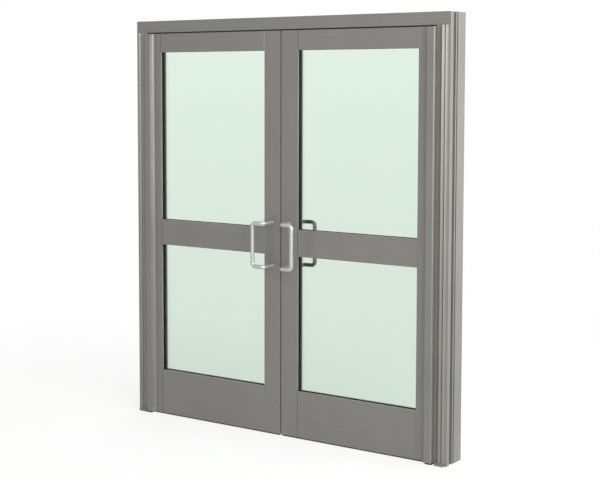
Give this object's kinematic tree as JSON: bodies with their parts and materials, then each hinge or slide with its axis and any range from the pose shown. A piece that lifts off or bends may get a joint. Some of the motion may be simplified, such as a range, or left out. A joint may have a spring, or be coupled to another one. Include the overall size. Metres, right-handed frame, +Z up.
{
  "type": "double glass door",
  "caption": "Pair of glazed aluminium stile-and-rail doors in a frame, hung on full-height hinges with offset pulls back to back; both leaves swing outwards.",
  "frame": {"origin": "on the flat strip of the header's top face, midway between the jambs, where the head of the frame is fixed up to the lintel", "axes": "+X to the right seen from the front, +Y from the front face to the back, +Z up"},
  "size_m": [1.9558, 0.2459, 2.1971],
  "materials": {
    "anodised_aluminium": "satin anodised, warm grey",
    "satin_pull": "satin bar",
    "insulating_glass": "clear, faint green tint",
    "black_gasket": "matt black",
    "black_spacer": "matt black",
    "black_bearing": "matt black",
    "foot_block": "satin grey"
  },
  "bodies": {
    "frame": {"header": "anodised_aluminium", "header_stop": "anodised_aluminium", "frame_seals": "black_gasket", "left_jamb": "anodised_aluminium", "left_jamb_stop": "anodised_aluminium", "left_hinge_jamb_leaf": "anodised_aluminium", "left_hinge_foot": "foot_block", "right_jamb": "anodised_aluminium", "right_jamb_stop": "anodised_aluminium", "right_hinge_jamb_leaf": "anodised_aluminium", "right_hinge_foot": "foot_block"},
    "left_leaf": {"left_hinge_stile": "anodised_aluminium", "left_meeting_stile": "anodised_aluminium", "left_top_rail": "anodised_aluminium", "left_mid_rail": "anodised_aluminium", "left_bottom_rail": "anodised_aluminium", "left_upper_glass": "insulating_glass", "left_lower_glass": "insulating_glass", "left_glass_spacers": "black_spacer", "left_gaskets": "black_gasket", "left_glazing_stops": "anodised_aluminium", "left_outer_pull": "satin_pull", "left_inner_pull": "satin_pull", "left_hinge_barrel": "anodised_aluminium", "left_hinge_bearing": "black_bearing", "left_bottom_sweep": "black_gasket"},
    "right_leaf": {"right_hinge_stile": "anodised_aluminium", "right_meeting_stile": "anodised_aluminium", "right_top_rail": "anodised_aluminium", "right_mid_rail": "anodised_aluminium", "right_bottom_rail": "anodised_aluminium", "right_upper_glass": "insulating_glass", "right_lower_glass": "insulating_glass", "right_glass_spacers": "black_spacer", "right_gaskets": "black_gasket", "right_glazing_stops": "anodised_aluminium", "right_outer_pull": "satin_pull", "right_inner_pull": "satin_pull", "right_hinge_barrel": "anodised_aluminium", "right_hinge_bearing": "black_bearing", "right_bottom_sweep": "black_gasket"}
  },
  "joints": [
    {"name": "left_door_swing", "type": "hinge", "parent": "frame", "child": "left_leaf", "pos_m": [-0.8894, -0.1267, -1.1303], "axis": [0, 0, -1], "range_deg": [0, 105]},
    {"name": "right_door_swing", "type": "hinge", "parent": "frame", "child": "right_leaf", "pos_m": [0.8894, -0.1267, -1.1303], "axis": [0, 0, 1], "range_deg": [0, 105]}
  ]
}
